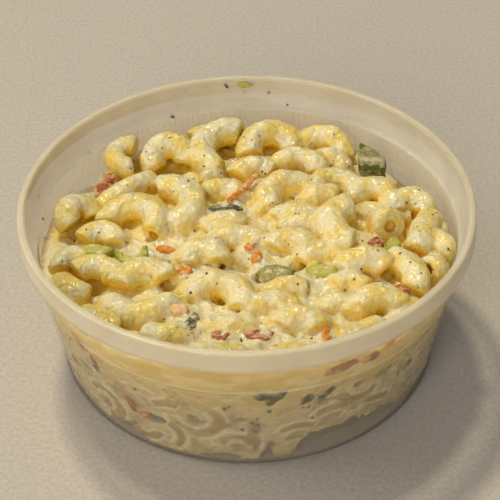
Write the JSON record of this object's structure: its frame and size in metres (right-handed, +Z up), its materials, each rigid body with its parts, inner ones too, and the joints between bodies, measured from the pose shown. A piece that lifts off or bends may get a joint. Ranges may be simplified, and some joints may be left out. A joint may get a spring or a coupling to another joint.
{
  "type": "pasta salad",
  "caption": "Elbow macaroni salad in cream dressing with diced vegetables, heaped in a round translucent deli tub with a skirted lip and no lid.",
  "frame": {"origin": "middle of the flat underside of the tub's base, which rests on the table", "axes": "+Z up along the tub's axis, -Y towards the side that the picture shows, +X to the right of it"},
  "size_m": [0.117, 0.117, 0.045],
  "materials": {
    "clear_plastic": "translucent milky polypropylene, smeared with dressing inside",
    "pasta": "wet cooked elbow pasta in a cream dressing",
    "celery": "moist cut celery",
    "pickle": "moist cut pickle",
    "olive": "moist black olive",
    "carrot": "moist cut carrot",
    "pale_carrot": "carrot under a film of dressing",
    "red_pepper": "moist diced red pepper",
    "green_pepper": "moist diced green pepper, skin side out"
  },
  "bodies": {
    "root": {"tub": "clear_plastic", "salad": "pasta", "celery_left": "celery", "celery_right": "celery", "celery_front": "celery", "celery_crescent": "celery", "pickle_dice": "pickle", "olive_sliver": "olive", "olive_front": "olive", "carrot_flake_left": "carrot", "carrot_dice_left": "carrot", "carrot_dice_back": "carrot", "carrot_dice_mid": "carrot", "carrot_front": "carrot", "carrot_shred": "carrot", "carrot_pale": "pale_carrot", "pepper_red_left": "red_pepper", "pepper_red_small": "red_pepper", "pepper_red_right": "red_pepper", "pepper_red_cream": "red_pepper", "pepper_red_front": "red_pepper", "pepper_red_front_left": "red_pepper", "pepper_green_back": "green_pepper"}
  },
  "joints": []
}
